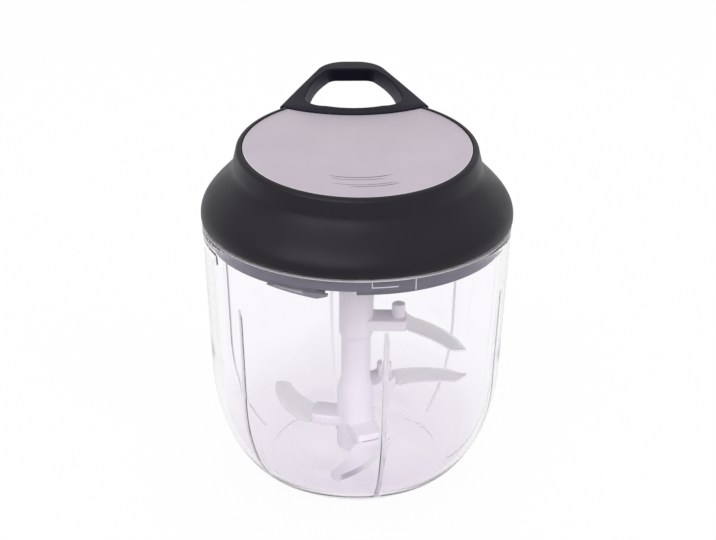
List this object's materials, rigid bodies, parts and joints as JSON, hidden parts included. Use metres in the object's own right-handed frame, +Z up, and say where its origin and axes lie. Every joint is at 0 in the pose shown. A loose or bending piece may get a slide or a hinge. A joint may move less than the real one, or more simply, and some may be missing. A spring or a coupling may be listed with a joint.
{
  "type": "pull-cord food chopper",
  "caption": "Hand food chopper with a clear rounded bowl, a shaft of curved blades and a domed locking lid whose cord handle spins the shaft.",
  "frame": {"origin": "centre of the bowl's flat base, on the table", "axes": "+Z up along the blade shaft, -Y towards the front, +Y towards the pull handle"},
  "size_m": [0.1268, 0.1512, 0.1472],
  "materials": {
    "clear_bowl": "clear gloss",
    "steel": "satin",
    "blade_steel": "ground",
    "spring_steel": "blued",
    "white_plastic": "satin",
    "inner_grey": "satin",
    "lid_black": "fine matt grain",
    "top_plate": "brushed",
    "seal": "matt",
    "cord": "braided"
  },
  "bodies": {
    "bowl": {"bowl": "clear_bowl", "bowl_pivot_pin": "steel"},
    "blades": {"blade_shaft": "white_plastic", "blade_top": "blade_steel", "blade_middle": "blade_steel", "blade_low": "blade_steel", "blade_bottom": "blade_steel"},
    "seal": {"lid_seal": "seal"},
    "lid": {"lid_housing": "lid_black", "lid_top_plate": "top_plate", "lid_base": "inner_grey", "lid_screw_1": "steel", "lid_screw_2": "steel", "lid_screw_3": "steel", "lid_screw_4": "steel", "spindle_bush": "white_plastic", "reel_axle": "steel", "axle_washer": "steel", "cord_eyelet": "steel", "pull_cord_lead": "cord"},
    "reel": {"cord_reel": "white_plastic", "spiral_spring": "spring_steel", "spring_cover": "white_plastic", "pull_cord_winding": "cord", "drive_spindle": "steel", "spindle_clip": "steel"},
    "handle": {"pull_handle": "lid_black", "knot_cover": "lid_black", "cord_knot": "cord"}
  },
  "joints": [
    {"name": "blade_spin", "type": "hinge", "parent": "bowl", "child": "blades", "pos_m": [0, 0, 0.003], "axis": [0, 0, 1], "range_deg": [0, 1240]},
    {"name": "lid_lift", "type": "slide", "parent": "bowl", "child": "seal", "axis": [0, 0, 1], "range_m": [0, 0.13]},
    {"name": "lid_turn", "type": "hinge", "parent": "seal", "child": "lid", "pos_m": [0, 0, 0.1058], "axis": [0, 0, 1], "range_deg": [0, 35]},
    {"name": "handle_pull", "type": "slide", "parent": "lid", "child": "handle", "axis": [0, 0.9971, 0.076], "range_m": [0, 0.4], "stiffness_N_per_m": 25, "springref_m": -0.15, "deforming": ["pull_cord_lead"]},
    {"name": "reel_spin", "type": "hinge", "parent": "lid", "child": "reel", "pos_m": [0, 0, 0.1334], "axis": [0, 0, 1], "range_deg": [0, 1240]}
  ],
  "couplings": [
    {"joint": "reel_spin", "follows": "handle_pull", "rad_per_m": 53.763},
    {"joint": "blade_spin", "follows": "handle_pull", "rad_per_m": 53.763}
  ]
}
